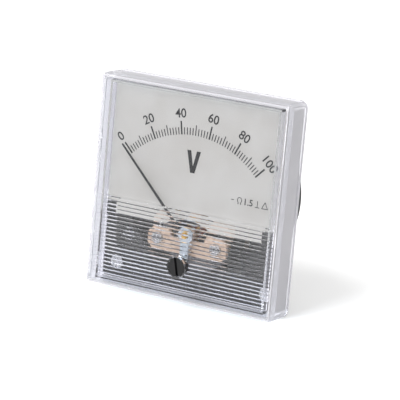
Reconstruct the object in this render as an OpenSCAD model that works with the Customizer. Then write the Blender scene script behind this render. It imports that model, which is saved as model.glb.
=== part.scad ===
// Square panel meter: clear cover over a dial and pointer, black moulded case,
// core-magnet moving coil movement, zero adjuster and rear terminals.
// Frame: the origin is the centre of the face that seats on the panel (the rear of the
// flange), on the axis of the round barrel. The dial faces -Y, +X is right and +Z is up.

/* [Flange and cover] */
// Side of the square flange at its rear rim
flange_w = 80; // [79:0.5:90]
// Depth of the cover from the seat on the panel to the front face
cover_depth = 12.8; // [12.6:0.1:15]
// Wall of the cover at its sides
cover_wall = 1.7; // [1.2:0.1:2]
// Thickness of the clear front plate
front_plate = 1.8; // [1.6:0.1:2]
// Radius of the flange corners
flange_corner = 3; // [2:0.5:4]
// Step between the rim and the straight sides
rim_step = 0.3; // [0.2:0.05:0.5]
// Depth of the rim
rim_depth = 1.5; // [1:0.25:2.5]
// How far the front edge is drawn in by its bevel
bevel_in = 0.6; // [0.3:0.1:1]
// Depth of the bevelled front edge
bevel_depth = 3.3; // [2.5:0.1:4]
// Distance from the flange side to the inner frame that holds the dial
frame_margin = 5; // [4.6:0.1:5.4]
// Distance from the flange top to the inner frame
frame_margin_top = 3.6; // [3.4:0.1:4]
// Thickness of the inner frame
frame_wall = 0.9; // [0.7:0.1:1.1]

/* [Ribbed field] */
// Height of the upper edge of the ribbed field over the centre
rib_top = -5.6; // [-7:0.1:-4]
// Height of the plain band under the ribbed field
rib_band = 3.7; // [3:0.1:5]
// Distance between grooves
rib_pitch = 1.45; // [1.2:0.05:2]
// Width of a groove
groove_w = 0.5; // [0.3:0.05:0.8]
// Depth of a groove
groove_depth = 0.35; // [0.2:0.05:0.5]
// Plain margin at both ends of the grooves
groove_margin = 2.4; // [2:0.1:4]

/* [Case] */
// Radius of the barrel behind the panel
barrel_r = 32.5; // [31.5:0.1:33]
// Length of the barrel behind the panel
barrel_depth = 16; // [16:0.1:22]
// Wall of the barrel
barrel_wall = 2; // [1.4:0.1:2]
// Thickness of the rear wall of the barrel
floor_t = 2; // [1.8:0.1:2]
// Thickness of the square base plate
base_t = 3; // [2.6:0.1:3.4]
// Clearance between the base plate and the cover
base_clear = 0.3; // [0.2:0.05:0.4]

/* [Dial] */
// Depth of the dial face behind the front face
dial_back = 4.8; // [4.6:0.1:5]
// Thickness of the dial sheet
dial_t = 0.8; // [0.5:0.1:1]
// Height of the lower edge of the dial
dial_low = -12.4; // [-13:0.1:-12]
// Radius of the arch cut into the lower edge
arch_r = 18.8; // [17:0.1:20]
// Rise of the arch over the lower edge
arch_rise = 2.7; // [2.5:0.1:3]
// Radius of the inner ends of the scale marks
scale_r = 36.9; // [36:0.1:38]
// Length of a major mark
major_len = 4.9; // [4:0.1:5]
// Length of a medium mark
medium_len = 3.8; // [3:0.1:4.2]
// Length of a minor mark
minor_len = 2.6; // [2:0.1:3]
// Width of a major mark
major_w = 0.6; // [0.3:0.05:0.8]
// Width of the other marks
minor_w = 0.36; // [0.2:0.02:0.5]
// Height of the printed ink over the dial
ink_t = 0.05; // [0.03:0.01:0.1]
// Angle of the whole scale
scale_sweep = 90; // [80:1:92]
// Number of divisions
divisions = 50; // [50:10:100]

/* [Pointer] */
// Depth of the pointer behind the inner face of the front plate
pointer_gap = 0.5; // [0.4:0.05:0.6]
// Thickness of the pointer
pointer_t = 0.4; // [0.3:0.05:0.5]
// Length of the pointer from the pivot
pointer_len = 41.5; // [39:0.1:43]
// Width of the pointer near the pivot
pointer_w = 1; // [0.8:0.05:1.2]
// Width of the pointer at its tip
tip_w = 0.55; // [0.3:0.05:0.7]
// Height of the pivot over the centre
pivot_z = -15.1; // [-15.3:0.05:-15]

/* [Movement] */
// Radius of the magnet core
core_r = 6; // [5.6:0.1:6.1]
// Length of the magnet core
core_len = 8.5; // [8.3:0.1:8.7]
// Air gap between the core and the coil former
core_gap = 0.5; // [0.4:0.05:0.6]
// Thickness of the coil former
former_t = 0.5; // [0.4:0.05:0.6]
// Thickness of the winding
winding_t = 0.9; // [0.7:0.05:1]
// Width of the winding
winding_w = 4; // [3:0.1:4.2]
// Radius of the yoke bore
yoke_bore = 8.6; // [8.5:0.1:9]
// Outer radius of the yoke ring
yoke_r = 15; // [14.9:0.1:15.1]
// Length of the yoke ring
yoke_len = 9.5; // [9.3:0.1:9.7]
// Distance of the movement screws from the pivot, sideways
screw_x = 12.3; // [12:0.1:12.5]
// Distance of the movement screws below the pivot
screw_drop = 3.2; // [3:0.1:3.5]
// Radius of the movement screws
screw_r = 1.15; // [1:0.05:1.25]
// Thickness of the front bridge
bridge_t = 1.5; // [1.3:0.1:1.6]
// Distance of the front bridge face behind the front face of the cover
bridge_back = 5.4; // [5.3:0.05:5.5]
// Half the length of the front bridge
bridge_half = 16.7; // [16:0.1:17.5]
// Height of the bridge ends over the pivot
bridge_up = 0.6; // [0.3:0.1:0.8]
// Distance from the pivot down to the lower edge of the bridge
bridge_down = 7.4; // [7:0.1:7.8]
// Radius of the jewel screws
jewel_r = 1.25; // [1.1:0.05:1.35]
// Radius of the pivot needles
needle_r = 0.25; // [0.2:0.05:0.3]

/* [Zero adjuster] */
// Height of the zero screw over the centre
zero_z = -26.3; // [-26.6:0.1:-26]
// Radius of the zero screw head
zero_head_r = 3.45; // [3:0.05:3.6]
// Radius of the zero screw shaft
zero_shaft_r = 2.15; // [2:0.05:2.3]
// Running clearance of the zero screw and of the zero lever
run_clear = 0.05; // [0.03:0.01:0.08]
// Height of the collar round the zero screw over the front face
collar_up = 1.4; // [1:0.1:1.6]
// Wall of the collar
collar_wall = 0.55; // [0.4:0.05:0.8]
// Offset of the eccentric pin from the axis of the zero screw
pin_offset = 1.2; // [1:0.05:1.3]
// Radius of the eccentric pin
pin_r = 0.5; // [0.4:0.05:0.6]
// Angle of the screwdriver slot from upright
slot_angle = 13; // [0:1:45]
// Width of the screwdriver slot
slot_w = 1; // [0.8:0.1:1.2]
// Width of the zero lever
lever_w = 3.4; // [3:0.1:3.8]
// Thickness of the zero lever
lever_t = 0.6; // [0.5:0.05:0.7]

/* [Terminals and studs] */
// Radius of the terminal studs
terminal_r = 2; // [1.75:0.05:2.25]
// Half the distance between the terminals
terminal_x = 15; // [13:0.5:16]
// Height of the terminals over the centre
terminal_z = 10; // [9:0.5:12]
// Length of a terminal stud behind the rear wall
terminal_len = 15; // [14:0.5:20]
// Radius of the mounting studs
stud_r = 1.5; // [1.25:0.05:1.75]
// Distance between the mounting studs
stud_pitch = 64; // [63:0.5:65]
// Length of the mounting studs behind the flange
stud_len = 10; // [9:0.5:12]
// Thickness of the panel that fits under the washers
panel_max = 4; // [2:0.5:4.5]

/* [Hidden] */

fine = 64;
medium = 32;
small = 24;
cut = 1;                                            // how far a cutter passes a face
touch = 0.1;                                        // gap between pieces that seat without a fit

// The cover
front_y = -cover_depth;
side_w = flange_w - 2 * rim_step;
face_w = side_w - 2 * bevel_in;
cavity_w = side_w - 2 * cover_wall;
plate_y = front_y + front_plate;
window_w = flange_w - 2 * frame_margin;
window_h = flange_w - 2 * frame_margin_top;
rib_low = rib_band - face_w / 2;
rib_count = floor((rib_top - rib_low) / rib_pitch) + 1;
groove_len = face_w - 2 * groove_margin;

// The case
base_w = cavity_w - 2 * base_clear;
base_y = -base_t;
barrel_bore = barrel_r - barrel_wall;
floor_y = barrel_depth - floor_t;

// The dial
dial_y = front_y + dial_back;
dial_rear = dial_y + dial_t;
dial_w = window_w + 2 * frame_wall;
dial_top = window_h / 2 + frame_wall;
arch_z = dial_low + arch_rise - arch_r;
post_w = 3.4;
post_h = 4.6;
post_x = dial_w / 2 - post_w / 2 - 1.2;
post_z = dial_low + 2.2;
post_rim = 1;
post_proud = 0.5;
rest_w = 4;
rest_x = stud_pitch / 2 - 10;
rest_z = dial_top - rest_w / 2 - 1.5;
post_clear = 0.2;

// The movement, along the pivot axis
bridge_y = front_y + bridge_back;
bridge_rear = bridge_y + bridge_t;
yoke_rear = yoke_len;
core_y = (yoke_len - core_len) / 2;
rear_bridge_t = 1.2;
rear_bridge_y = floor_y - 0.5 - rear_bridge_t;
former_in_x = core_r + core_gap;
former_in_y = core_y - core_gap;
former_out_x = former_in_x + former_t;
former_out_y = former_in_y - former_t;
winding_out_x = former_out_x + winding_t;
winding_out_y = former_out_y - winding_t;
coil_rear_y = yoke_len - winding_out_y;
former_w = winding_w + 0.8;
jewel_cup = 0.9;
tip_gap = 0.05;
front_tip = bridge_rear - 0.4;
rear_cup_y = rear_bridge_y - 0.3;
rear_tip = rear_cup_y + 0.4;
rear_hub_y = coil_rear_y + 0.9;
hub_r = 1.3;
collet_r = 1.15;
arm_y = bridge_rear + 1.5;
arm_t = 0.6;
arm_w = 0.8;
tail_len = 10;
side_arm = 7;
weight_r = 0.9;
weight_len = 2;
stop_r = 9.4;
stop_pin_r = 0.5;
zero_play = 6;                                      // sweep kept free at each end for the zero shift
rest_angle = -scale_sweep / 2;
stop_angle = scale_sweep / 2 + zero_play + asin((arm_w / 2 + stop_pin_r) / stop_r);
boss_r = 2.6;
spring_in = 1.35;
spring_out = 3;
spring_turns = 4;
spring_wire = 0.12;
spring_h = 0.3;
spring_y = bridge_rear + 0.6;
collet_y = spring_y - 0.2;
rear_spring_y = coil_rear_y + 0.4;
post_r = 2.2;
bar_w = 3.4;
bar_h = 3.6;

// The pointer
pointer_y = plate_y + pointer_gap;
step_r = 3.4;
step_end = 4.6;

// The zero adjuster
lever_y = bridge_y - 1.2 - lever_t;
lever_r = 3;
tab_w = 0.8;
tab_t = 0.5;
tab_r = spring_out + 0.15;
spring_end_r = tab_r - spring_wire / 2;
collar_y = front_y - collar_up;
head_y = collar_y - 0.1;
head_seat = front_y + 0.8;
fork_clear = 0.2;
lever_drop = pivot_z - zero_z;

// Terminals and studs
seat_y = barrel_depth + 1.6;
seat_r = 5;
tag_t = 0.5;
washer_t = 0.6;
spring_washer_t = 1;
washer_y = seat_y + tag_t;
spring_washer_y = washer_y + washer_t;
nut_y = spring_washer_y + spring_washer_t;
nut_t = 3.2;
nut_flats = 7;
stud_head = 1.2;
// The shank in the base plate is thicker than the thread and ends just under the seat
stud_shank_r = stud_r + 0.5;
stud_head_r = 2.6;
bore_clear = 0.1;
resistor_r = 2.2;
resistor_len = 8;
resistor_z = terminal_z + 8;
resistor_y = 8;
lead_r = 0.3;
lead_y = dial_rear + lead_r + 0.3;
inner_nut_y = floor_y - nut_t;

// A straight rod along Y from y0 to y1
module rod(y0, y1, r, n = medium) {
    translate([0, y0, 0]) rotate([-90, 0, 0]) cylinder(h = y1 - y0, r = r, $fn = n);
}

// A flat outline drawn in X and Z, from y0 to y1
module slab(y0, y1) {
    translate([0, y1, 0]) rotate([90, 0, 0]) linear_extrude(height = y1 - y0) children();
}

// A block in X and Z that is centred on x and z
module block(x, z, w, h, y0, y1) {
    translate([x - w / 2, y0, z - h / 2]) cube([w, y1 - y0, h]);
}

// A hexagon nut with its bore along Y
module hex_nut(y0, y1, flats, bore_r) {
    difference() {
        rod(y0, y1, flats / sqrt(3), 6);
        rod(y0 - cut, y1 + cut, bore_r);
    }
}

module washer(y0, y1, r, bore_r) {
    difference() {
        rod(y0, y1, r);
        rod(y0 - cut, y1 + cut, bore_r);
    }
}

// Corner points of a square with round corners
function round_square(w, r, n = 6) = [
    for (q = [0 : 3], i = [0 : n])
        let (a = 90 * q + 90 * i / n,
            cx = (q == 0 || q == 3 ? 1 : -1) * (w / 2 - r),
            cz = (q < 2 ? 1 : -1) * (w / 2 - r))
        [cx + r * cos(a), cz + r * sin(a)]];

module round_plate(w, r, y0, y1) {
    slab(y0, y1) polygon(round_square(w, r));
}

// Everything that turns with the coil is drawn with the pointer upright
module on_pivot(angle = 0) {
    translate([0, 0, pivot_z]) rotate([0, angle, 0]) children();
}

module at_terminals() {
    for (side = [-1, 1]) translate([side * terminal_x, 0, terminal_z]) children();
}

module at_studs() {
    for (sx = [-1, 1], sz = [-1, 1]) translate([sx * stud_pitch / 2, 0, sz * stud_pitch / 2]) children();
}

module at_screws() {
    for (side = [-1, 1]) translate([side * screw_x, 0, pivot_z - screw_drop]) children();
}

// Side view of the cover: straight sides and a bevel drawn in towards the front face
function bevel_profile() = [
    [front_y, -face_w / 2], [front_y, face_w / 2],
    [front_y + bevel_depth, side_w / 2], [-rim_depth, side_w / 2],
    [-rim_depth, flange_w / 2], [0, flange_w / 2],
    [0, -flange_w / 2], [-rim_depth, -flange_w / 2],
    [-rim_depth, -side_w / 2], [front_y + bevel_depth, -side_w / 2]];

module bevel_across() {
    translate([-flange_w / 2, 0, 0]) rotate([90, 0, 90]) linear_extrude(height = flange_w)
        polygon(bevel_profile());
}

module bevel_upright() {
    translate([0, 0, -flange_w / 2]) linear_extrude(height = flange_w)
        polygon([for (p = bevel_profile()) [p[1], p[0]]]);
}

// Horizontal V grooves of the ribbed field, cut into the front face
module grooves() {
    for (i = [0 : rib_count - 1]) translate([-groove_len / 2, front_y, rib_top - i * rib_pitch])
        rotate([90, 0, 90]) linear_extrude(height = groove_len)
            polygon([[-groove_depth, groove_w], [-groove_depth, -groove_w], [groove_depth, 0]]);
}

module front_cover() {
    color([0.9, 0.93, 0.96, 0.35]) difference() {
        union() {
            difference() {
                intersection() {
                    round_plate(flange_w, flange_corner, front_y, 0);
                    bevel_across();
                    bevel_upright();
                }
                round_plate(cavity_w, flange_corner - cover_wall, plate_y, cut);
                grooves();
            }
            difference() {
                block(0, 0, window_w + 2 * frame_wall, window_h + 2 * frame_wall, plate_y, dial_y - touch);
                block(0, 0, window_w, window_h, plate_y - cut, dial_y);
            }
            translate([0, 0, zero_z]) rod(collar_y, plate_y, zero_head_r + run_clear + collar_wall, fine);
        }
        translate([0, 0, zero_z]) rod(collar_y - cut, head_seat, zero_head_r + run_clear, fine);
        translate([0, 0, zero_z]) rod(head_seat - cut, plate_y + cut, zero_shaft_r + run_clear, fine);
    }
}

module rear_housing() {
    color([0.07, 0.07, 0.08]) difference() {
        union() {
            difference() {
                union() {
                    round_plate(base_w, flange_corner - cover_wall, base_y, 0);
                    rod(-cut, barrel_depth, barrel_r, fine * 2);
                }
                rod(base_y - cut, floor_y, barrel_bore, fine * 2);
            }
            // Bosses under the movement
            at_screws() rod(rear_bridge_y + rear_bridge_t, floor_y + cut, post_r + 0.8);
            // Raised seats of the terminals
            at_terminals() rod(floor_y + cut, seat_y, seat_r);
            // Posts through the lower corners of the dial, with shoulders that carry it
            for (side = [-1, 1]) {
                block(side * post_x, post_z, post_w, post_h, dial_y - post_proud, base_y + cut);
                block(side * post_x, post_z, post_w + 2 * post_rim, post_h + 2 * post_rim,
                    dial_rear, base_y + cut);
                block(side * rest_x, rest_z, rest_w, rest_w, dial_rear, base_y + cut);
            }
        }
        at_studs() rod(base_y - cut, cut, stud_shank_r + bore_clear);
        at_studs() rod(base_y - cut, base_y + stud_head, stud_head_r + bore_clear);
        at_terminals() rod(floor_y - cut, seat_y + cut, terminal_r + bore_clear);
        at_screws() rod(rear_bridge_y, barrel_depth - 0.8, screw_r + bore_clear);
    }
}

module dial_plate() {
    color([0.83, 0.83, 0.81]) difference() {
        block(0, (dial_top + dial_low) / 2, dial_w, dial_top - dial_low, dial_y, dial_rear);
        translate([0, 0, arch_z]) rod(dial_y - cut, dial_rear + cut, arch_r, fine * 2);
        for (side = [-1, 1])
            block(side * post_x, post_z, post_w + 2 * post_clear, post_h + 2 * post_clear,
                dial_y - cut, dial_rear + cut);
    }
}

// One printed mark whose inner end lies on the scale radius
module mark(index) {
    major = index % 10 == 0;
    length = major ? major_len : index % 5 == 0 ? medium_len : minor_len;
    on_pivot(rest_angle + index * scale_sweep / divisions)
        block(0, scale_r + length / 2, major ? major_w : minor_w, length, dial_y - ink_t, dial_y);
}

module scale_marks() {
    color([0.06, 0.06, 0.06]) for (index = [0 : divisions]) mark(index);
}

// Right half of the front bridge, from its middle over the top to its lower edge
function bridge_half_outline() = [
    [8 - 1, -2], [8, bridge_up], [bridge_half - 2, bridge_up], [bridge_half, bridge_up - 2],
    [bridge_half, 2 - bridge_down], [bridge_half - 2, -bridge_down]];

module front_bridge() {
    half = bridge_half_outline();
    color([0.74, 0.62, 0.52]) difference() {
        on_pivot() {
            slab(bridge_y, bridge_rear) polygon(concat(half,
                [for (i = [len(half) - 1 : -1 : 0]) [-half[i][0], half[i][1]]]));
            rod(bridge_y, bridge_rear, boss_r);
        }
        on_pivot() rod(bridge_y - cut, bridge_rear + cut, jewel_r + bore_clear);
        at_screws() rod(bridge_y - cut, bridge_rear + cut, screw_r + bore_clear);
    }
}

module rear_bridge() {
    rear = rear_bridge_y + rear_bridge_t;
    color([0.74, 0.62, 0.52]) difference() {
        union() {
            on_pivot() rod(rear_bridge_y, rear, 5.5);
            on_pivot() block(0, -screw_drop, 2 * (screw_x + post_r), 2 * post_r, rear_bridge_y, rear);
            at_screws() rod(yoke_rear, rear, post_r);
        }
        on_pivot() rod(rear_bridge_y - cut, rear + cut, jewel_r + bore_clear);
        at_screws() rod(yoke_rear - cut, rear + cut, screw_r + bore_clear);
    }
}

module yoke_ring() {
    color([0.45, 0.46, 0.48]) difference() {
        on_pivot() rod(0, yoke_rear, yoke_r, fine * 2);
        on_pivot() rod(-cut, yoke_rear + cut, yoke_bore, fine * 2);
        at_screws() rod(-cut, yoke_rear + cut, screw_r + bore_clear);
    }
}

module magnet_core() {
    color([0.32, 0.32, 0.34]) on_pivot() difference() {
        rod(core_y, core_y + core_len, core_r, fine);
        block(0, 0, bar_w + touch, 2 * core_r + cut, core_y + (core_len - bar_h - touch) / 2,
            core_y + (core_len + bar_h + touch) / 2);
    }
}

// Carries the core across the air gap, between the two ways of the coil
module core_bar() {
    color([0.8, 0.72, 0.45]) on_pivot() intersection() {
        block(0, 0, bar_w, 2 * yoke_bore, core_y + (core_len - bar_h) / 2, core_y + (core_len + bar_h) / 2);
        rod(0, yoke_rear, yoke_bore - touch / 2, fine);
    }
}

module spacer_posts() {
    color([0.75, 0.65, 0.35]) at_screws() washer(bridge_rear, 0, post_r, screw_r + bore_clear);
}

module movement_screws() {
    color([0.78, 0.78, 0.78]) at_screws() difference() {
        union() {
            rod(bridge_y - 1.2, bridge_y, post_r);
            rod(bridge_y - cut, barrel_depth - 1, screw_r);
        }
        block(0, 0, 2 * post_r + cut, 0.6, bridge_y - 1.2 - cut, bridge_y - 0.6);
    }
}

// Pegs on the yoke that stop the tail of the pointer just past both ends of the scale
module stop_pins() {
    color([0.7, 0.7, 0.7]) for (side = [-1, 1]) on_pivot(180 + side * stop_angle)
        translate([0, 0, stop_r]) rod(arm_y - 0.3, 0, stop_pin_r, small);
}

// A slotted screw with a cup for the jewel at the end where toward points
module jewel_screw(y0, y1, slot_y, cup_y) {
    difference() {
        rod(y0, y1, jewel_r);
        rod(cup_y - jewel_cup, cup_y + jewel_cup, 0.6, small);
        block(0, 0, 2 * jewel_r + cut, 0.4, slot_y - 0.5, slot_y + 0.5);
    }
}

// A disc with a small cone that takes the tip of a pivot needle
module jewel(y0, y1, open_y) {
    color([0.75, 0.1, 0.2]) difference() {
        rod(y0, y1, 0.55, small);
        translate([0, open_y, 0]) rotate([open_y == y1 ? 90 : -90, 0, 0])
            cylinder(h = 0.25, r1 = 0.35, r2 = 0.05, $fn = small);
    }
}

module front_jewel_screw() {
    color([0.8, 0.7, 0.4]) on_pivot()
        jewel_screw(bridge_y - 2.5, bridge_rear, bridge_y - 2.5, bridge_rear);
}

module front_jewel_nut() {
    color([0.8, 0.7, 0.4]) on_pivot() hex_nut(bridge_y - 1, bridge_y, 4, jewel_r + bore_clear);
}

module front_jewel() {
    on_pivot() jewel(bridge_rear - jewel_cup, front_tip - tip_gap, front_tip - tip_gap);
}

module rear_jewel_screw() {
    color([0.8, 0.7, 0.4]) on_pivot()
        jewel_screw(rear_cup_y, floor_y - 0.2, floor_y - 0.2, rear_cup_y);
}

module rear_jewel() {
    on_pivot() jewel(rear_tip + tip_gap, rear_cup_y + jewel_cup, rear_tip + tip_gap);
}

// Flat spiral with its outer end on the left, one point every 20 degrees
function spiral(radius_shift) = [
    for (i = [0 : 18 * spring_turns])
        let (a = 180 - 20 * i,
            r = spring_end_r - (spring_end_r - spring_in) * i / (18 * spring_turns) + radius_shift)
        [r * cos(a), r * sin(a)]];

module hairspring(y0) {
    outer = spiral(spring_wire / 2);
    inner = spiral(-spring_wire / 2);
    color([0.72, 0.45, 0.2]) on_pivot() slab(y0, y0 + spring_h)
        polygon(concat(outer, [for (i = [len(inner) - 1 : -1 : 0]) inner[i]]));
}

module front_hairspring() {
    hairspring(spring_y);
}

module rear_hairspring() {
    hairspring(rear_spring_y);
}

module rear_spring_lug() {
    color([0.8, 0.7, 0.4]) on_pivot()
        block(-tab_r - tab_t / 2, 0, tab_t, tab_w, rear_spring_y - 0.1, rear_bridge_y);
}

// Black screw in the collar of the cover; its pin is off its axis and moves the fork of the lever
module zero_screw() {
    shaft_end = plate_y + 0.9;
    color([0.05, 0.05, 0.06]) translate([0, 0, zero_z]) difference() {
        union() {
            rod(head_y, head_seat - run_clear, zero_head_r, fine);
            rod(head_seat - cut, shaft_end, zero_shaft_r, fine);
            translate([0, 0, pin_offset]) rod(shaft_end - cut, lever_y + lever_t + 0.2, pin_r, small);
        }
        rotate([0, -slot_angle, 0])
            block(0, 0, slot_w, 2 * zero_head_r + cut, head_y - cut, head_y + 1);
    }
}

module zero_screw_clip() {
    color([0.75, 0.75, 0.75]) translate([0, 0, zero_z])
        washer(plate_y + touch, plate_y + touch + 0.4, zero_shaft_r + 1, zero_shaft_r + run_clear / 2);
}

module zero_lever() {
    fork_top = lever_drop - pin_offset - pin_r - 0.5;
    arm_end = lever_drop + 0.3;
    color([0.72, 0.76, 0.8]) on_pivot() difference() {
        union() {
            rod(lever_y, lever_y + lever_t, lever_r);
            block(0, -arm_end / 2, lever_w, arm_end, lever_y, lever_y + lever_t);
            block(-tab_r / 2 - tab_t / 2, 0, tab_r + tab_t, tab_w, lever_y, lever_y + lever_t);
            block(-tab_r - tab_t / 2, 0, tab_t, tab_w, lever_y, spring_y + spring_h + 0.1);
        }
        rod(lever_y - cut, lever_y + lever_t + cut, jewel_r + run_clear);
        block(0, -(fork_top + arm_end + cut) / 2, 2 * (pin_r + fork_clear), arm_end + cut - fork_top,
            lever_y - cut, lever_y + lever_t + cut);
    }
}

// Side view of the pointer: root on the hub, step forward past the bridge, then the long blade
function pointer_side() = [
    [collet_r + touch, arm_y - pointer_t], [step_r - 0.1, arm_y - pointer_t],
    [step_end - 0.3, pointer_y], [pointer_len, pointer_y], [pointer_len, pointer_y + pointer_t],
    [step_end + 0.1, pointer_y + pointer_t], [step_r + 0.3, arm_y], [collet_r + touch, arm_y]];

module pointer() {
    color([0.05, 0.05, 0.05]) on_pivot(rest_angle) intersection() {
        translate([-pointer_w, 0, 0]) rotate([90, 0, 90]) linear_extrude(height = 2 * pointer_w)
            polygon([for (p = pointer_side()) [p[1], p[0]]]);
        slab(front_y, 0) polygon([
            [-pointer_w / 2, 0], [pointer_w / 2, 0], [pointer_w / 2, step_end],
            [tip_w / 2, pointer_len - tip_w / 2], [tip_w / 4, pointer_len],
            [-tip_w / 4, pointer_len], [-tip_w / 2, pointer_len - tip_w / 2],
            [-pointer_w / 2, step_end]]);
    }
}

// Hub on the front of the coil with the balance arms, and the small hub on its rear
module pointer_hub() {
    color([0.78, 0.68, 0.4]) on_pivot(rest_angle) {
        rod(arm_y, winding_out_y, hub_r);
        rod(collet_y, arm_y + cut / 2, collet_r);
        block(0, step_r / 2, arm_w, step_r, arm_y, arm_y + arm_t);
        block(0, -tail_len / 2, arm_w, tail_len, arm_y, arm_y + arm_t);
        block(0, 0, 2 * side_arm, arm_w, arm_y, arm_y + arm_t);
        rod(coil_rear_y, rear_hub_y, hub_r - 0.2);
    }
}

// A turned weight that is threaded on a balance arm
module arm_weight(angle) {
    rotate([0, angle, 0]) difference() {
        translate([0, arm_y + arm_t / 2, 4.6]) cylinder(h = weight_len, r = weight_r, $fn = small);
        block(0, 4.6 + weight_len / 2, arm_w + 0.04, weight_len + cut, arm_y - 0.02, arm_y + arm_t + 0.02);
    }
}

module balance_weights() {
    color([0.7, 0.7, 0.72]) on_pivot(rest_angle) for (angle = [90, 180, 270]) arm_weight(angle);
}

// A rectangular loop round the core with its sides in the air gap
module coil_loop(inner_x, outer_x, inner_y, outer_y, w) {
    on_pivot(rest_angle) difference() {
        block(0, 0, 2 * outer_x, w, outer_y, yoke_len - outer_y);
        block(0, 0, 2 * inner_x, w + cut, inner_y, yoke_len - inner_y);
    }
}

module coil_former() {
    color([0.8, 0.81, 0.83]) coil_loop(former_in_x, former_out_x, former_in_y, former_out_y, former_w);
}

module coil_winding() {
    color([0.6, 0.3, 0.16])
        coil_loop(former_out_x, winding_out_x, former_out_y, winding_out_y, winding_w);
}

module pivot_needles() {
    color([0.7, 0.7, 0.72]) on_pivot(rest_angle) {
        rod(front_tip, collet_y, needle_r, small);
        rod(rear_hub_y, rear_tip, needle_r, small);
    }
}

module terminal_studs() {
    color([0.82, 0.72, 0.42]) at_terminals()
        rod(inner_nut_y - 1, barrel_depth + terminal_len, terminal_r);
}

module inner_nuts() {
    color([0.82, 0.72, 0.42]) at_terminals()
        hex_nut(inner_nut_y, floor_y, nut_flats, terminal_r + bore_clear);
}

module solder_tags() {
    hole_r = 1.4;
    tongue = 9;
    color([0.86, 0.85, 0.8]) at_terminals() difference() {
        union() {
            rod(seat_y, seat_y + tag_t, terminal_r + 2);
            block(0, tongue / 2, terminal_r + 2, tongue, seat_y, seat_y + tag_t);
        }
        rod(seat_y - cut, seat_y + tag_t + cut, terminal_r + bore_clear);
        translate([0, 0, tongue - 2.2]) rod(seat_y - cut, seat_y + tag_t + cut, hole_r, small);
    }
}

module terminal_washers() {
    color([0.82, 0.72, 0.42]) at_terminals()
        washer(washer_y, washer_y + washer_t, terminal_r + 2.2, terminal_r + bore_clear);
}

module spring_washers() {
    color([0.75, 0.75, 0.76]) at_terminals() difference() {
        washer(spring_washer_y, nut_y, terminal_r + 1.5, terminal_r + bore_clear);
        block(0, -terminal_r - 1, 0.7, 3, spring_washer_y - cut, nut_y + cut);
    }
}

module terminal_nuts() {
    color([0.82, 0.72, 0.42]) at_terminals()
        hex_nut(nut_y, nut_y + nut_t, nut_flats, terminal_r + bore_clear);
}

module mounting_studs() {
    color([0.76, 0.77, 0.78]) at_studs() {
        rod(base_y, base_y + stud_head - touch / 2, stud_head_r);
        rod(base_y + stud_head / 2, -touch / 2, stud_shank_r);
        rod(-touch * 4, stud_len, stud_r);
    }
}

module series_resistor() {
    color([0.25, 0.4, 0.6]) translate([-resistor_len / 2, resistor_y, resistor_z])
        rotate([0, 90, 0]) cylinder(h = resistor_len, r = resistor_r, $fn = medium);
}

// A round wire that follows straight runs with a ball at every bend
module wire(points, r) {
    for (i = [0 : len(points) - 2]) run(points[i], points[i + 1], r);
    for (i = [1 : len(points) - 2]) translate(points[i]) sphere(r = r, $fn = small);
}

// One straight run of wire, parallel to X, Y or Z
module run(a, b, r) {
    step = b - a;
    length = norm(step);
    turn = step[0] != 0 ? [0, 90 * sign(step[0]), 0]
        : step[1] != 0 ? [-90 * sign(step[1]), 0, 0] : [step[2] < 0 ? 180 : 0, 0, 0];
    translate(a) rotate(turn) cylinder(h = length, r = r, $fn = small);
}

module resistor_leads() {
    stud_face = inner_nut_y - 1;
    color([0.8, 0.8, 0.78]) {
        wire([[resistor_len / 2, resistor_y, resistor_z], [terminal_x, resistor_y, resistor_z],
            [terminal_x, resistor_y, terminal_z], [terminal_x, stud_face, terminal_z]], lead_r);
        wire([[-resistor_len / 2, resistor_y, resistor_z], [-screw_x, resistor_y, resistor_z],
            [-screw_x, lead_y, resistor_z], [-screw_x, lead_y, pivot_z + bridge_up]], lead_r);
    }
}

module coil_leads() {
    stud_face = inner_nut_y - 1;
    behind = rear_spring_y + 0.3;
    lug_side = -tab_r - tab_t - lead_r;
    color([0.75, 0.15, 0.12]) wire([
        [-terminal_x, stud_face, terminal_z], [-terminal_x, stud_face - 0.6, terminal_z],
        [-terminal_x, stud_face - 0.6, -4], [-terminal_x, behind, -4],
        [lug_side, behind, -4], [lug_side, behind, pivot_z]], lead_r);
}

front_cover();
rear_housing();
dial_plate();
scale_marks();
front_bridge();
rear_bridge();
yoke_ring();
magnet_core();
core_bar();
spacer_posts();
movement_screws();
stop_pins();
front_jewel_screw();
front_jewel_nut();
front_jewel();
rear_jewel_screw();
rear_jewel();
front_hairspring();
rear_hairspring();
rear_spring_lug();
zero_screw();
zero_screw_clip();
zero_lever();
pointer();
pointer_hub();
balance_weights();
coil_former();
coil_winding();
pivot_needles();
terminal_studs();
solder_tags();
terminal_washers();
spring_washers();
terminal_nuts();
inner_nuts();
mounting_studs();
series_resistor();
resistor_leads();
coil_leads();
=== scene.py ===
import math

import bpy
import numpy as np
from mathutils import Matrix, Vector


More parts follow.
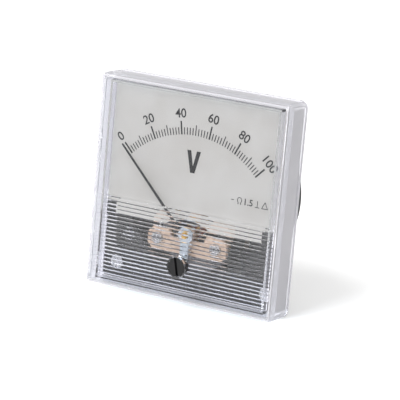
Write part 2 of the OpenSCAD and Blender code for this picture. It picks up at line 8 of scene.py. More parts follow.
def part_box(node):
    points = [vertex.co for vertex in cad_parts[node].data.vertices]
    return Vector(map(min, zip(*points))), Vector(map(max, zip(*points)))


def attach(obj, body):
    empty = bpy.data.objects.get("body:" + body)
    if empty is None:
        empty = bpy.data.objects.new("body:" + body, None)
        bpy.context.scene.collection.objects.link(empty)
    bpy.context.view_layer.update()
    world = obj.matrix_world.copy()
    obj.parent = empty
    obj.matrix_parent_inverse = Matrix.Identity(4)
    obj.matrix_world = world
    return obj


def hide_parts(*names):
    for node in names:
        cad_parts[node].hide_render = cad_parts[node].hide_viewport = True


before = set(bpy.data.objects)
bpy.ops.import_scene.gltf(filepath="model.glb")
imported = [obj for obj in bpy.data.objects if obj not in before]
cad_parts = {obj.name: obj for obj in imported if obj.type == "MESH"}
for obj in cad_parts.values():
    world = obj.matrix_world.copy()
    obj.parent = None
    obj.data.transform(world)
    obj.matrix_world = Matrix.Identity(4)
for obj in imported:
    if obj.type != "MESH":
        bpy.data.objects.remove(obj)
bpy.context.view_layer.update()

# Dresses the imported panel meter: finishes, dial print, threads, stage and camera.
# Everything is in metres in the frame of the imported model: the origin is the centre of the
# panel seat, the dial faces -Y, +X is to the reader's right and +Z is up.

bl_info = {
    "name": "Panel meter dressing",
    "version": (1, 0, 0),
    "blender": (4, 5, 0),
    "location": "View3D > Sidebar > Meter",
    "description": "Finishes, dial print, threads and stage for a moving coil panel meter",
    "category": "Object",
}

MM = 0.001
# The clear cover turns milky between these distances from the dial's centre lines
SIDE_WALL_INNER = 37.9 * MM
SIDE_WALL_OUTER = 38.9 * MM
SIDE_WALL_MILKINESS = 0.38
# The part of a noise pattern's range over which a finish goes from its darker to its lighter tone
GRAIN_LOW, GRAIN_HIGH = 0.3, 0.7
# Input numbers of the colour sockets of a Mix node, and its colour output
MIX_A, MIX_B, MIX_COLOUR = 6, 7, 2
# How far the strokes of the built-in font are thickened, in letter heights
LETTER_WEIGHT = 0.012
# Depth of a metric thread, in pitches
THREAD_DEPTH = 0.54
TERMINAL_SIDES, STUD_SIDES = 40, 28
# Figures on the scale: steps between them and the value of one step
STEPS, STEP_VALUE = 5, 20
# Direct current, moving coil, class, upright use and insulation symbols: X on the dial
SYMBOL_PLACES = [place * MM for place in (17.7, 20.6, 24.4, 28.0, 31.1)]


# ---------------------------------------------------------------- small tools

def srgb(hex_code):
    """Linear RGBA of an sRGB colour written as six hex digits."""
    channels = [int(hex_code[i:i + 2], 16) / 255 for i in (0, 2, 4)]
    linear = [c / 12.92 if c <= 0.04045 else ((c + 0.055) / 1.055) ** 2.4 for c in channels]
    return (*linear, 1.0)


def add_node(tree, kind, sockets=(), **settings):
    """A node with its settings, and each socket, by name or number, given a value or a link."""
    node = tree.nodes.new(kind)
    for name, value in settings.items():
        setattr(node, name, value)
    for key, value in dict(sockets).items():
        if isinstance(value, bpy.types.NodeSocket):
            tree.links.new(value, node.inputs[key])
        else:
            node.inputs[key].default_value = value
    return node


def new_material(name):
    """An empty node material and its tree."""
    material = bpy.data.materials.new(name)
    material.use_nodes = True
    material.node_tree.nodes.clear()
    return material, material.node_tree


def grain(tree, size_mm, detail=3.0, stretch=(1, 1, 1)):
    """Noise in object space whose blotches are about size_mm across, stretched along an axis."""
    place = add_node(tree, "ShaderNodeTexCoord").outputs["Object"]
    scaled = add_node(tree, "ShaderNodeMapping", {"Vector": place, "Scale": stretch})
    noise = add_node(tree, "ShaderNodeTexNoise", {
        "Vector": scaled.outputs["Vector"], "Scale": 1 / (size_mm * MM), "Detail": detail})
    return noise.outputs["Fac"]


def mottled(tree, pattern, dark, light, rough, depth_mm, **sockets):
    """A principled shader whose colour, gloss and relief all follow one pattern."""
    span = {"Value": pattern, "From Min": GRAIN_LOW, "From Max": GRAIN_HIGH}
    tone = add_node(tree, "ShaderNodeMapRange", span)
    colour = add_node(tree, "ShaderNodeMix", {
        0: tone.outputs["Result"], MIX_A: srgb(dark), MIX_B: srgb(light)}, data_type="RGBA")
    gloss = add_node(tree, "ShaderNodeMapRange", {**span, "To Min": rough[0], "To Max": rough[1]})
    relief = add_node(tree, "ShaderNodeBump", {
        "Height": pattern, "Distance": depth_mm * MM, "Strength": 1.0})
    return add_node(tree, "ShaderNodeBsdfPrincipled", {
        "Base Color": colour.outputs[MIX_COLOUR], "Roughness": gloss.outputs["Result"],
        "Normal": relief.outputs["Normal"], **sockets})


def surface(name, dark, light, size_mm, rough, depth_mm, metallic=0.0, stretch=(1, 1, 1)):
    """A material mottled by grain of one size: two tones, uneven gloss and a fine relief."""
    material, tree = new_material(name)
    shader = mottled(tree, grain(tree, size_mm, stretch=stretch), dark, light, rough, depth_mm,
                     Metallic=metallic)
    add_node(tree, "ShaderNodeOutputMaterial", {"Surface": shader.outputs["BSDF"]})
    return material


# ---------------------------------------------------------------- materials

def clear_polystyrene():
    """Clear polystyrene, injection moulded: glass-like over the dial, with bright lines at its
    grooves, and slightly milky in its satin side walls, so that they look pale against the dark
    case. Light falls through it on to the dial, which stays evenly lit."""
    material, tree = new_material("clear_polystyrene")
    haze = add_node(tree, "ShaderNodeMapRange", {
        "Value": grain(tree, 9, detail=2.0), "From Min": GRAIN_LOW, "From Max": GRAIN_HIGH,
        "To Min": 0.01, "To Max": 0.05})
    clear = add_node(tree, "ShaderNodeBsdfPrincipled", {
        "Base Color": srgb("f6f6fa"), "Roughness": haze.outputs["Result"],
        "Transmission Weight": 1.0, "IOR": 1.5})
    satin = add_node(tree, "ShaderNodeBsdfPrincipled", {
        "Base Color": srgb("eeecf2"), "Roughness": 0.35})
    place = add_node(tree, "ShaderNodeTexCoord").outputs["Object"]
    axes = add_node(tree, "ShaderNodeSeparateXYZ", {"Vector": place})
    across, upward = [
        add_node(tree, "ShaderNodeMath", {0: axes.outputs[axis]}, operation="ABSOLUTE")
        for axis in ("X", "Z")]
    widest = add_node(tree, "ShaderNodeMath", {
        0: across.outputs["Value"], 1: upward.outputs["Value"]}, operation="MAXIMUM")
    wall = add_node(tree, "ShaderNodeMapRange", {
        "Value": widest.outputs["Value"], "From Min": SIDE_WALL_INNER,
        "From Max": SIDE_WALL_OUTER, "To Min": 0.0, "To Max": SIDE_WALL_MILKINESS})
    body = add_node(tree, "ShaderNodeMixShader", {
        "Fac": wall.outputs["Result"], 1: clear.outputs["BSDF"], 2: satin.outputs["BSDF"]})
    thin = add_node(tree, "ShaderNodeBsdfTransparent", {"Color": srgb("f4f6f8")})
    path = add_node(tree, "ShaderNodeLightPath")
    let_through = add_node(tree, "ShaderNodeMath", {
        0: path.outputs["Is Shadow Ray"], 1: path.outputs["Is Diffuse Ray"]},
        operation="MAXIMUM")
    mix = add_node(tree, "ShaderNodeMixShader", {
        "Fac": let_through.outputs["Value"], 1: body.outputs["Shader"], 2: thin.outputs["BSDF"]})
    add_node(tree, "ShaderNodeOutputMaterial", {"Surface": mix.outputs["Shader"]})
    return material


def black_phenolic():
    """Pressed phenolic: a dull black with a soft sheen and a fine mineral speckle."""
    return surface("black_phenolic", "0a0a0b", "151517", 0.5, (0.38, 0.55), 0.015)


def dial_paint():
    """Matt off-white lacquer on sheet: a warm light grey that is very slightly uneven."""
    return surface("dial_paint", "bfbab2", "c8c4bd", 14, (0.5, 0.62), 0.004)


def dial_ink():
    """Screen-printed ink: deep black with a soft gloss."""
    return surface("dial_ink", "0b0b0b", "161616", 0.8, (0.45, 0.6), 0.002)


def beige_phenolic():
    """Pressed phenolic of the bridges: pinkish beige with faint clouds."""
    return surface("beige_phenolic", "b89a84", "d4b9a2", 1.5, (0.4, 0.55), 0.02)


def soft_iron():
    """Zinc plated soft iron: a dull blue-grey metal."""
    return surface("soft_iron", "5c5d60", "85868a", 1.2, (0.35, 0.55), 0.01, metallic=0.9)


def magnet_alloy():
    """Ground magnet alloy: dark grey, with grinding lines along the axis."""
    return surface("magnet_alloy", "2b2b2e", "4a4a4e", 0.6, (0.35, 0.5), 0.01, metallic=0.8,
                   stretch=(1, 0.1, 1))


def turned_brass():
    """Turned brass: bright yellow metal, faintly streaked round the axis."""
    return surface("turned_brass", "b58a3c", "dcb765", 0.5, (0.2, 0.38), 0.004, metallic=1.0,
                   stretch=(0.3, 3, 0.3))


def nickel_plate():
    """Nickel plated steel: bright and cool, with a faint cloud."""
    return surface("nickel_plate", "a9aaab", "cfd0d1", 1.0, (0.18, 0.34), 0.003, metallic=1.0)


def ruby():
    """Polished synthetic ruby: a small deep red glint."""
    return surface("ruby", "7d0a1c", "a81228", 0.4, (0.05, 0.12), 0.001)


def spring_bronze():
    """Rolled phosphor bronze strip: orange-brown and shiny."""
    return surface("spring_bronze", "a2632b", "c98544", 0.4, (0.25, 0.4), 0.001, metallic=1.0)


def satin_steel():
    """Satin steel sheet: a light blue-grey with lines along the lever."""
    return surface("satin_steel", "a9b2ba", "c9d0d6", 0.5, (0.35, 0.5), 0.003, metallic=0.6,
                   stretch=(1, 1, 0.15))


def pointer_lacquer():
    """Thin lacquer on the pointer: black, with little gloss."""
    return surface("pointer_lacquer", "0c0c0c", "191919", 0.6, (0.35, 0.5), 0.002)


def drawn_aluminium():
    """Drawn aluminium strip: pale metal with lines along its length."""
    return surface("drawn_aluminium", "b9bbbe", "dcdddf", 0.4, (0.3, 0.45), 0.003, metallic=1.0,
                   stretch=(1, 0.2, 1))


def enamelled_copper():
    """Enamelled copper wire in layers: red-brown ridges side by side, with painted shade in the
    grooves between the turns, where the darker tone follows the low part of the relief. A real wire
    is about
    0.1 mm thick; the turns are drawn 0.9 mm apart so that they show."""
    material, tree = new_material("enamelled_copper")
    place = add_node(tree, "ShaderNodeTexCoord").outputs["Object"]
    turns = add_node(tree, "ShaderNodeTexWave", {
        "Vector": place, "Scale": 1 / (0.9 * MM), "Distortion": 1.5})
    # painted shade: the darker tone 5a2412 lies in the grooves between the turns, the lighter
    # a85226 on their ridges
    shader = mottled(tree, turns.outputs["Fac"], "5a2412", "a85226", (0.25, 0.45), 0.05,
                     Metallic=0.5)
    add_node(tree, "ShaderNodeOutputMaterial", {"Surface": shader.outputs["BSDF"]})
    return material


def tinned_copper():
    """Tinned copper: soft grey, lightly uneven where the tin has run."""
    return surface("tinned_copper", "a8a6a0", "cac8c2", 0.5, (0.3, 0.5), 0.006, metallic=1.0)


def resistor_lacquer():
    """Dipped blue lacquer: smooth and glossy."""
    return surface("resistor_lacquer", "2c5686", "3f74ae", 1.0, (0.2, 0.35), 0.01)


def red_sleeve():
    """Extruded vinyl sleeve: an even matt red."""
    return surface("red_sleeve", "8c1712", "b3231b", 0.8, (0.4, 0.55), 0.005)


FINISHES = {
    clear_polystyrene: ["front_cover"],
    black_phenolic: ["rear_housing", "zero_screw"],
    dial_paint: ["dial_plate"],
    dial_ink: ["scale_marks"],
    beige_phenolic: ["front_bridge", "rear_bridge"],
    soft_iron: ["yoke_ring"],
    magnet_alloy: ["magnet_core"],
    turned_brass: ["core_bar", "spacer_posts", "front_jewel_screw", "front_jewel_nut",
                   "rear_jewel_screw", "rear_spring_lug", "pointer_hub", "terminal_studs",
                   "terminal_washers", "terminal_nuts", "inner_nuts"],
    nickel_plate: ["movement_screws", "stop_pins", "zero_screw_clip", "balance_weights",
                   "pivot_needles", "spring_washers", "mounting_studs"],
    ruby: ["front_jewel", "rear_jewel"],
    spring_bronze: ["front_hairspring", "rear_hairspring"],
    satin_steel: ["zero_lever"],
    pointer_lacquer: ["pointer"],
    drawn_aluminium: ["coil_former"],
    enamelled_copper: ["coil_winding"],
    tinned_copper: ["solder_tags", "resistor_leads"],
    resistor_lacquer: ["series_resistor"],
    red_sleeve: ["coil_leads"],
}


# ---------------------------------------------------------------- meshes

def mesh_piece(name, points, faces, material, slot):
    """A mesh object at the origin from points in metres and faces, riding on the case."""
    mesh = bpy.data.meshes.new(name)
    mesh.from_pydata(np.asarray(points).tolist(), [], [list(map(int, f)) for f in faces])
    mesh.update()
    mesh.materials.append(material)
    piece = bpy.data.objects.new(name, mesh)
    bpy.context.scene.collection.objects.link(piece)
    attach(piece, "case")
    return piece


def pivot_point():
    """X and Z of the pivot in metres: the centre of the front jewel screw."""
    low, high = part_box("front_jewel_screw")
    return (low[0] + high[0]) / 2, (low[2] + high[2]) / 2


def print_level():
    """Y of the printed ink: level with the CAD scale marks' front."""
    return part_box("scale_marks")[0][1]


def on_dial(flat, centre, turn):
    """Puts flat points (right, up) on the dial about a centre, turned clockwise by turn radians."""
    flat = np.asarray(flat, float)
    x = centre[0] + flat[:, 0] * math.cos(turn) + flat[:, 1] * math.sin(turn)
    z = centre[1] - flat[:, 0] * math.sin(turn) + flat[:, 1] * math.cos(turn)
    return np.column_stack([x, np.full(len(flat), print_level()), z])


def facing_reader(flat, faces):
    """The faces with those turned round whose outline runs clockwise, so that all face -Y."""
    def signed_area(face):
        x, z = flat[list(face)].T
        return np.dot(x, np.roll(z, -1)) - np.dot(z, np.roll(x, -1))
    flat = np.asarray(flat, float)
    return [tuple(face) if signed_area(face) > 0 else tuple(reversed(face)) for face in faces]


def lettering(words, height):
    """Flat points and faces of words in the built-in font, centred, with figures height tall."""
    curve = bpy.data.curves.new("lettering", "FONT")
    curve.body = words
    curve.align_x = "CENTER"
    curve.align_y = "CENTER"
    curve.size = 1.0
    curve.offset = LETTER_WEIGHT
    curve.resolution_u = 6
    probe = bpy.data.objects.new("lettering", curve)
    bpy.context.scene.collection.objects.link(probe)
    bpy.context.view_layer.update()
    mesh = probe.evaluated_get(bpy.context.evaluated_depsgraph_get()).to_mesh()
    points = np.empty(len(mesh.vertices) * 3)
    mesh.vertices.foreach_get("co", points)
    points = points.reshape(-1, 3)[:, :2]
    faces = [tuple(p.vertices) for p in mesh.polygons]
    bpy.data.objects.remove(probe)
    bpy.data.curves.remove(curve)
    low, high = points.min(axis=0), points.max(axis=0)
    points = (points - (low + high) / 2) * height / (high[1] - low[1])
    return points, faces


def ribbon(line, width):
    """Flat points and faces of a stroke of even width along a line, mitred at its bends."""
    line = np.asarray(line, float)
    along = np.diff(line, axis=0)
    along /= np.linalg.norm(along, axis=1)[:, None]
    normals = np.column_stack([-along[:, 1], along[:, 0]])
    before = np.vstack([normals[:1], normals])
    after = np.vstack([normals, normals[-1:]])
    mitre = before + after
    mitre /= (1 + np.sum(before * after, axis=1))[:, None]
    points = np.vstack([line + mitre * width / 2, line - mitre * width / 2])
    count = len(line)
    return points, [(i, i + 1, count + i + 1, count + i) for i in range(count - 1)]


def merged(parts):
    """Points and faces of several meshes as one."""
    points, faces, start = [], [], 0
    for part_points, part_faces in parts:
        points.append(part_points)
        faces += [tuple(start + i for i in face) for face in part_faces]
        start += len(part_points)
    return np.vstack(points), faces


def thread(axis_x, axis_z, y0, y1, radius, pitch, sides, rows_per_turn=8):
    """A threaded rod along Y: r = radius - depth * saw, where saw is the distance of
    (y / pitch - angle / one turn) from the nearest whole number, doubled; flat at both ends."""
    rows = int((y1 - y0) / pitch * rows_per_turn) + 1
    y = np.linspace(y0, y1, rows)[:, None]
    angle = np.linspace(0, 2 * math.pi, sides, endpoint=False)[None, :]
    phase = (y - y0) / pitch - angle / (2 * math.pi)
    saw = 2 * np.abs(phase - np.round(phase))
    fade = np.clip(np.minimum(y - y0, y1 - y) / pitch, 0, 1)
    r = radius - THREAD_DEPTH * pitch * (saw * fade + (1 - fade))
    points = np.stack([axis_x + r * np.cos(angle), np.broadcast_to(y, r.shape),
                       axis_z + r * np.sin(angle)], axis=-1).reshape(-1, 3)
    return points, tube_faces(rows, sides)


def turned(axis_x, axis_z, profile, sides):
    """A solid of revolution about a line along Y: every (y, r) of the profile becomes the circle
    x = axis_x + r cos a, z = axis_z + r sin a, and flat caps close both ends."""
    y, r = (np.array(column)[:, None] for column in zip(*profile))
    angle = np.linspace(0, 2 * math.pi, sides, endpoint=False)[None, :]
    x, z = axis_x + r * np.cos(angle), axis_z + r * np.sin(angle)
    points = np.stack([x, np.broadcast_to(y, x.shape), z], axis=-1).reshape(-1, 3)
    return points, tube_faces(len(profile), sides)


def tube_faces(rows, sides):
    """Outward quads between neighbouring rings of a closed tube along Y, and its two caps."""
    row, side = np.meshgrid(np.arange(rows - 1), np.arange(sides), indexing="ij")
    nxt = (side + 1) % sides
    quads = np.stack([row * sides + side, (row + 1) * sides + side, (row + 1) * sides + nxt,
                      row * sides + nxt], axis=-1).reshape(-1, 4)
    caps = [tuple(range(sides)), tuple(reversed(range((rows - 1) * sides, rows * sides)))]
    return [tuple(q) for q in quads] + caps


# ---------------------------------------------------------------- settings

class MeterPrint(bpy.types.PropertyGroup):
    """Sizes of the dial print"""
    figure_radius: bpy.props.FloatProperty(
        name="Figure radius", description="Distance of the figures from the pivot",
        default=44.7 * MM, unit="LENGTH")
    figure_height: bpy.props.FloatProperty(
        name="Figure height", description="Height of the figures", default=3.4 * MM, unit="LENGTH")
    unit_height: bpy.props.FloatProperty(
        name="Unit height", description="Height of the unit letter",
        default=8.2 * MM, unit="LENGTH")
    unit_level: bpy.props.FloatProperty(
        name="Unit level", description="Height of the unit letter's middle on the dial",
        default=12.1 * MM, unit="LENGTH")
    symbol_height: bpy.props.FloatProperty(
        name="Symbol height", description="Height of the small symbols",
        default=2.4 * MM, unit="LENGTH")
    symbol_level: bpy.props.FloatProperty(
        name="Symbol level", description="Height of the symbols' middle on the dial",
        default=1.4 * MM, unit="LENGTH")
    symbol_stroke: bpy.props.FloatProperty(
        name="Symbol stroke", description="Width of the lines of the small symbols",
        default=0.26 * MM, unit="LENGTH")
    sweep: bpy.props.FloatProperty(
        name="Sweep", description="Angle of the scale", default=math.radians(90), subtype="ANGLE")


class MeterThreads(bpy.types.PropertyGroup):
    """Sizes of the threads and of the mounting studs"""
    terminal_pitch: bpy.props.FloatProperty(
        name="Terminal pitch", description="Pitch of the terminal threads",
        default=0.7 * MM, unit="LENGTH")
    stud_diameter: bpy.props.FloatProperty(
        name="Stud diameter", description="Diameter of the mounting studs",
        default=3 * MM, unit="LENGTH")
    stud_pitch: bpy.props.FloatProperty(
        name="Stud pitch", description="Pitch of the mounting threads",
        default=0.5 * MM, unit="LENGTH")
    stud_spread: bpy.props.FloatProperty(
        name="Stud spread", description="Distance of each mounting stud from the centre lines",
        default=32 * MM, unit="LENGTH")
    shank_diameter: bpy.props.FloatProperty(
        name="Shank diameter", description="Diameter of a mounting stud inside the base plate",
        default=4 * MM, unit="LENGTH")
    shank_end: bpy.props.FloatProperty(
        name="Shank end", description="Y at which the shank ends, just under the seat",
        default=-0.05 * MM, unit="LENGTH")
    thread_start: bpy.props.FloatProperty(
        name="Thread start", description="Y at which the thread starts, inside the shank",
        default=-0.8 * MM, unit="LENGTH")
    head_diameter: bpy.props.FloatProperty(
        name="Head diameter", description="Diameter of a mounting stud's head",
        default=5.2 * MM, unit="LENGTH")
    head_height: bpy.props.FloatProperty(
        name="Head height", description="Height of a mounting stud's head",
        default=1.15 * MM, unit="LENGTH")


class MeterStage(bpy.types.PropertyGroup):
    """Camera, lamps and floor"""
    azimuth: bpy.props.FloatProperty(
        name="Azimuth", description="Camera's turn round the meter, to the reader's right",
        default=math.radians(29.84), subtype="ANGLE")
    elevation: bpy.props.FloatProperty(
        name="Elevation", description="Camera's height over the dial's centre line",
        default=math.radians(11.4), subtype="ANGLE")
    roll: bpy.props.FloatProperty(
        name="Roll", description="Camera's roll, which shows the meter leaning",
        default=math.radians(5.17), subtype="ANGLE")
    distance: bpy.props.FloatProperty(
        name="Distance", description="Camera's distance from the front face",
        default=922.4 * MM, unit="LENGTH")
    aim_right: bpy.props.FloatProperty(
        name="Aim right", description="How far right of the dial's centre the view is centred",
        default=5.61 * MM, unit="LENGTH")
    aim_up: bpy.props.FloatProperty(
        name="Aim up", description="How far above the dial's centre the view is centred",
        default=-1.45 * MM, unit="LENGTH")
    lens: bpy.props.FloatProperty(
        name="Lens", description="Focal length on a 36 mm wide sensor", default=229.3)
    lean: bpy.props.FloatProperty(
        name="Lean", description="How far the meter leans back from the floor's upright",
        default=math.radians(9.8), subtype="ANGLE")
    key_power: bpy.props.FloatProperty(
        name="Key power", description="Power of the soft key lamp in watts", default=9.0)
    fill_share: bpy.props.FloatProperty(
        name="Fill share", description="Power of the fill lamp as a share of the key lamp's",
        default=0.2)
    floor_glow: bpy.props.FloatProperty(
        name="Floor glow", description="How much the floor is lifted towards white to the eye",
        default=0.3)
    floor_reach: bpy.props.FloatProperty(
        name="Floor reach", description="Half the side of the floor", default=600 * MM,
        unit="LENGTH")
    cover_ahead: bpy.props.FloatProperty(
        name="Cover ahead", description="How far the cover's face stands in front of the dial",
        default=4.8 * MM, unit="LENGTH")
    sky: bpy.props.FloatProperty(
        name="Sky", description="Strength of the even light from all round", default=0.62)


# ---------------------------------------------------------------- operators

class METER_OT_finish(bpy.types.Operator):
    """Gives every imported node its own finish"""
    bl_idname = "meter.finish_nodes"
    bl_label = "Finish the nodes"

    def execute(self, context):
        for make, names in FINISHES.items():
            material = make()
            for name in names:
                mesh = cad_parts[name].data
                mesh.materials.clear()
                mesh.materials.append(material)
        missing = set(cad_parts) - {n for names in FINISHES.values() for n in names}
        if missing:
            raise RuntimeError(f"nodes without a finish: {sorted(missing)}")
        return {"FINISHED"}


class METER_OT_figures(bpy.types.Operator):
    """Prints the figures, the unit letter and the small symbols on the dial"""
    bl_idname = "meter.print_dial"
    bl_label = "Print the dial"

    def execute(self, context):
        settings = context.scene.meter_print
        ink = bpy.data.materials["dial_ink"]
        pivot_x, pivot_z = pivot_point()
        for step in range(STEPS + 1):
            turn = (step / STEPS - 0.5) * settings.sweep
            centre = (pivot_x + settings.figure_radius * math.sin(turn),
                      pivot_z + settings.figure_radius * math.cos(turn))
            figure = str(STEP_VALUE * step)
            flat, faces = lettering(figure, settings.figure_height)
            mesh_piece(f"figure_{figure}", on_dial(flat, centre, turn),
                       facing_reader(flat, faces), ink, "black_ink")
        self.unit_letter(settings, ink)
        self.symbols(settings, ink)
        return {"FINISHED"}

    def unit_letter(self, settings, ink):
        """A bold V: the corners of its outline, in shares of its height, filled by three faces."""
        half, foot, arm, notch = 0.35, 0.11, 0.2, 0.3
        corners = [(-half, 0.5), (-half + arm, 0.5), (0, notch - 0.5), (half - arm, 0.5),
                   (half, 0.5), (foot, -0.5), (-foot, -0.5)]
        flat = np.array(corners) * settings.unit_height
        faces = [(0, 1, 2, 6), (2, 3, 4, 5), (2, 5, 6)]
        mesh_piece("unit_letter", on_dial(flat, (0, settings.unit_level), 0),
                   facing_reader(flat, faces), ink, "black_ink")

    def symbols(self, settings, ink):
        """Generic scale symbols, each a ribbon or two along lines given in symbol heights."""
        tall = settings.symbol_height

        def stroke(*line):
            return ribbon(np.array(line) * tall, settings.symbol_stroke)

        bend = np.linspace(math.radians(235), math.radians(-55), 15)
        arch = [(0.37 * math.cos(a), 0.08 + 0.42 * math.sin(a)) for a in bend]
        direct_current = ribbon([(-0.55 * MM, 0), (0.55 * MM, 0)], settings.symbol_stroke)
        moving_coil = stroke((-0.31, -0.5), (-0.2, -0.5), *arch, (0.2, -0.5), (0.31, -0.5))
        accuracy_class = lettering("1.5", tall)
        upright_use = merged([stroke((0, -0.5), (0, 0.5)), stroke((-0.4, -0.5), (0.4, -0.5))])
        insulation = merged([stroke((-0.5, -0.5), (0, 0.5)), stroke((0, 0.5), (0.5, -0.5)),
                             stroke((0.55, -0.5), (-0.55, -0.5))])
        signs = (direct_current, moving_coil, accuracy_class, upright_use, insulation)
        flat, faces = merged([(points + np.array([place, 0]), faces)
                              for (points, faces), place in zip(signs, SYMBOL_PLACES)])
        mesh_piece("scale_symbols", on_dial(flat, (0, settings.symbol_level), 0),
                   facing_reader(flat, faces), ink, "black_ink")


class METER_OT_threads(bpy.types.Operator):
    """Cuts the threads of the terminal studs and the mounting studs"""
    bl_idname = "meter.cut_threads"
    bl_label = "Cut the threads"

    def execute(self, context):
        settings = context.scene.meter_threads
        self.terminals(settings)
        self.studs(settings)
        return {"FINISHED"}

    def terminals(self, settings):
        """A threaded rod in place of each terminal stud."""
        low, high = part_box("terminal_studs")
        radius = (high[2] - low[2]) / 2
        level = (high[2] + low[2]) / 2
        rods = [thread(side * (high[0] - radius), level, low[1], high[1], radius,
                       settings.terminal_pitch, TERMINAL_SIDES) for side in (-1, 1)]
        piece = mesh_piece("threaded_terminals", *merged(rods),
                           bpy.data.materials["turned_brass"], "brass")
        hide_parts("terminal_studs")

    def studs(self, settings):
        """A threaded rod with a thicker shank and a head in place of each mounting stud."""
        low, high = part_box("mounting_studs")
        out, head = settings.stud_spread, settings.head_diameter / 2
        neck, shank = low[1] + settings.head_height, settings.shank_diameter / 2
        places = [(side_x * out, side_z * out) for side_x in (-1, 1) for side_z in (-1, 1)]
        rods = [thread(x, z, settings.thread_start, high[1], settings.stud_diameter / 2,
                       settings.stud_pitch, STUD_SIDES) for x, z in places]
        profile = [(low[1], head), (neck, head), (neck, shank), (settings.shank_end, shank)]
        rods += [turned(x, z, profile, STUD_SIDES) for x, z in places]
        piece = mesh_piece("threaded_studs", *merged(rods),
                           bpy.data.materials["nickel_plate"], "nickel")
        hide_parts("mounting_studs")


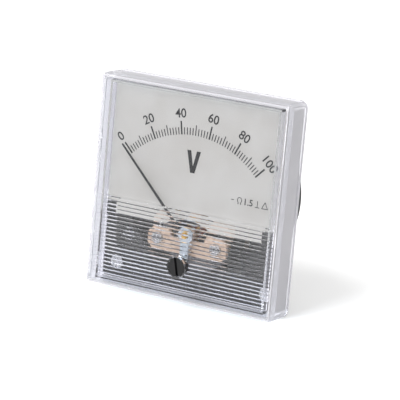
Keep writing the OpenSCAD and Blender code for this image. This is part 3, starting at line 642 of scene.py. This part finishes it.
class METER_OT_stage(bpy.types.Operator):
    """Builds the floor, the lamps, the world and the camera"""
    bl_idname = "meter.set_stage"
    bl_label = "Set the stage"

    def execute(self, context):
        settings = context.scene.meter_stage
        context.scene.view_settings.view_transform = "Standard"
        self.floor(settings)
        self.world(settings)
        self.lamps(settings)
        self.camera(settings)
        return {"FINISHED"}

    def floor(self, settings):
        """A plain white floor under the rim, tilted so that the meter leans back on it."""
        low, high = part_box("front_cover")
        foot = Vector((0, high[1], low[2]))
        normal = Vector((0, -math.sin(settings.lean), math.cos(settings.lean)))
        across = Vector((1, 0, 0))
        away = normal.cross(across)
        corners = [foot + (across * side_x + away * side_y) * settings.floor_reach
                   for side_x, side_y in ((-1, -1), (1, -1), (1, 1), (-1, 1))]
        mesh = bpy.data.meshes.new("floor")
        mesh.from_pydata([tuple(c) for c in corners], [], [(0, 1, 2, 3)])
        mesh.materials.append(self.white_paper(settings))
        floor = bpy.data.objects.new("floor", mesh)
        bpy.context.scene.collection.objects.link(floor)

    def white_paper(self, settings):
        """Matt white paper: it looks white, keeps soft shadows, and is clear from below."""
        material, tree = new_material("white_paper")
        fibre = add_node(tree, "ShaderNodeMapRange", {
            "Value": grain(tree, 30), "From Min": GRAIN_LOW, "From Max": GRAIN_HIGH})
        tone = add_node(tree, "ShaderNodeMix", {
            0: fibre.outputs["Result"], MIX_A: srgb("f0f0f0"), MIX_B: srgb("f4f4f4")},
            data_type="RGBA")
        paper = add_node(tree, "ShaderNodeBsdfDiffuse", {"Color": tone.outputs[MIX_COLOUR]})
        path = add_node(tree, "ShaderNodeLightPath")
        seen = add_node(tree, "ShaderNodeMath", {
            0: path.outputs["Is Camera Ray"], 1: path.outputs["Is Transmission Ray"]},
            operation="MAXIMUM")
        power = add_node(tree, "ShaderNodeMath", {
            0: seen.outputs["Value"], 1: settings.floor_glow}, operation="MULTIPLY")
        glow = add_node(tree, "ShaderNodeEmission", {"Strength": power.outputs["Value"]})
        lit = add_node(tree, "ShaderNodeAddShader", {
            0: paper.outputs["BSDF"], 1: glow.outputs["Emission"]})
        clear = add_node(tree, "ShaderNodeBsdfTransparent")
        side = add_node(tree, "ShaderNodeNewGeometry")
        mix = add_node(tree, "ShaderNodeMixShader", {
            "Fac": side.outputs["Backfacing"], 1: lit.outputs["Shader"],
            2: clear.outputs["BSDF"]})
        add_node(tree, "ShaderNodeOutputMaterial", {"Surface": mix.outputs["Shader"]})
        return material

    def world(self, settings):
        """Even white light from all round, and plain white to the camera itself."""
        world = bpy.data.worlds.new("studio")
        world.use_nodes = True
        tree = world.node_tree
        tree.nodes.clear()
        white = (1, 1, 1, 1)
        light = add_node(tree, "ShaderNodeBackground", {
            "Color": white, "Strength": settings.sky})
        seen = add_node(tree, "ShaderNodeBackground", {"Color": white, "Strength": 1.0})
        path = add_node(tree, "ShaderNodeLightPath")
        mix = add_node(tree, "ShaderNodeMixShader", {
            "Fac": path.outputs["Is Camera Ray"], 1: light.outputs["Background"],
            2: seen.outputs["Background"]})
        add_node(tree, "ShaderNodeOutputWorld", {"Surface": mix.outputs["Shader"]})
        bpy.context.scene.world = world

    def lamps(self, settings):
        """A large soft lamp over the reader's left shoulder and a weak one low on the right."""
        for name, place, size, power in (
                ("key", (-0.35, -0.55, 0.75), 0.6, settings.key_power),
                ("fill", (0.7, -0.35, 0.25), 0.5, settings.key_power * settings.fill_share)):
            lamp = bpy.data.lights.new(name, "AREA")
            lamp.shape = "DISK"
            lamp.size = size
            lamp.energy = power
            holder = bpy.data.objects.new(name, lamp)
            holder.location = place
            holder.rotation_euler = (-Vector(place)).to_track_quat("-Z", "Y").to_euler()
            bpy.context.scene.collection.objects.link(holder)

    def camera(self, settings):
        """A long lens that looks at the front face from the right and a little above."""
        az, el = settings.azimuth, settings.elevation
        look = Vector((-math.sin(az) * math.cos(el), math.cos(az) * math.cos(el), -math.sin(el)))
        right = look.cross(Vector((0, 0, 1))).normalized()
        up = right.cross(look)
        cosine, sine = math.cos(settings.roll), math.sin(settings.roll)
        right, up = right * cosine + up * sine, up * cosine - right * sine
        face = Vector((0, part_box("dial_plate")[0][1] - settings.cover_ahead, 0))
        place = face - look * settings.distance + right * settings.aim_right + up * settings.aim_up
        lens = bpy.data.cameras.new("camera")
        lens.lens = settings.lens
        lens.sensor_width = 36
        lens.clip_start = 0.01
        camera = bpy.data.objects.new("camera", lens)
        camera.matrix_world = Matrix.Translation(place) @ Matrix(
            (right, up, -look)).transposed().to_4x4()
        bpy.context.scene.collection.objects.link(camera)
        bpy.context.scene.camera = camera


class METER_PT_panel(bpy.types.Panel):
    """Buttons and settings of the meter"""
    bl_idname = "METER_PT_panel"
    bl_label = "Panel meter"
    bl_space_type = "VIEW_3D"
    bl_region_type = "UI"
    bl_category = "Meter"

    def draw(self, context):
        for operator in OPERATORS:
            self.layout.operator(operator.bl_idname)
        for group in ("meter_print", "meter_threads", "meter_stage"):
            settings = getattr(context.scene, group)
            for name in settings.bl_rna.properties.keys():
                if name not in {"rna_type", "name"}:
                    self.layout.prop(settings, name)


OPERATORS = (METER_OT_finish, METER_OT_figures, METER_OT_threads, METER_OT_stage)
GROUPS = {"meter_print": MeterPrint, "meter_threads": MeterThreads, "meter_stage": MeterStage}


def register():
    for cls in (*GROUPS.values(), *OPERATORS, METER_PT_panel):
        bpy.utils.register_class(cls)
    for name, group in GROUPS.items():
        setattr(bpy.types.Scene, name, bpy.props.PointerProperty(type=group))


def unregister():
    for name in GROUPS:
        delattr(bpy.types.Scene, name)
    for cls in (METER_PT_panel, *reversed(OPERATORS), *reversed(list(GROUPS.values()))):
        bpy.utils.unregister_class(cls)


def main():
    register()
    bpy.ops.meter.finish_nodes()
    bpy.ops.meter.print_dial()
    bpy.ops.meter.cut_threads()
    bpy.ops.meter.set_stage()


if __name__ == "__main__":
    main()
